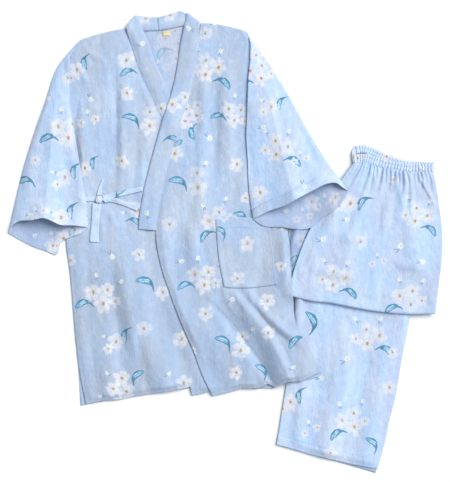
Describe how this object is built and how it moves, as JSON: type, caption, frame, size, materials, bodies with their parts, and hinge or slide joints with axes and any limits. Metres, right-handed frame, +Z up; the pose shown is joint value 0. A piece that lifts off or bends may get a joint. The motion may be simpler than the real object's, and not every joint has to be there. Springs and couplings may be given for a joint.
{
  "type": "kimono pajama set",
  "caption": "Kimono pajama set laid flat: a wrap jacket with a collar band, wide sleeves and a knotted tie, and trousers folded beside it under one cuff.",
  "frame": {"origin": "on the surface it lies on, under the middle of the set's box", "axes": "+Z up from the surface, +Y towards the jacket's neck, +X towards the wearer's left sleeve and the trousers"},
  "size_m": [0.8882, 0.946, 0.037],
  "materials": {
    "printed_gauze": "soft crinkled cotton double gauze, pale blue with a printed blossom and leaf pattern",
    "inner_gauze": "the plain reverse of the double gauze, greyer, with the print showing faintly through",
    "waistband_gauze": "double gauze gathered over elastic",
    "label_satin": "woven satin tab, blank"
  },
  "bodies": {
    "root": {"jacket_back": "inner_gauze", "jacket_front_right": "printed_gauze", "jacket_front_left": "printed_gauze", "sleeve_right": "printed_gauze", "sleeve_left": "printed_gauze", "collar_band_right": "printed_gauze", "collar_band_left": "printed_gauze", "pocket": "printed_gauze", "neck_label": "label_satin", "tie_left_strap": "printed_gauze", "tie_left_loop": "printed_gauze", "tie_left_tail": "printed_gauze", "tie_right_strap": "printed_gauze", "tie_right_tail": "printed_gauze", "tie_knot": "printed_gauze", "trousers_layers": "printed_gauze", "trousers_leg": "printed_gauze", "trousers_rise": "inner_gauze", "trousers_hip": "printed_gauze", "trousers_waistband": "waistband_gauze"}
  },
  "joints": []
}
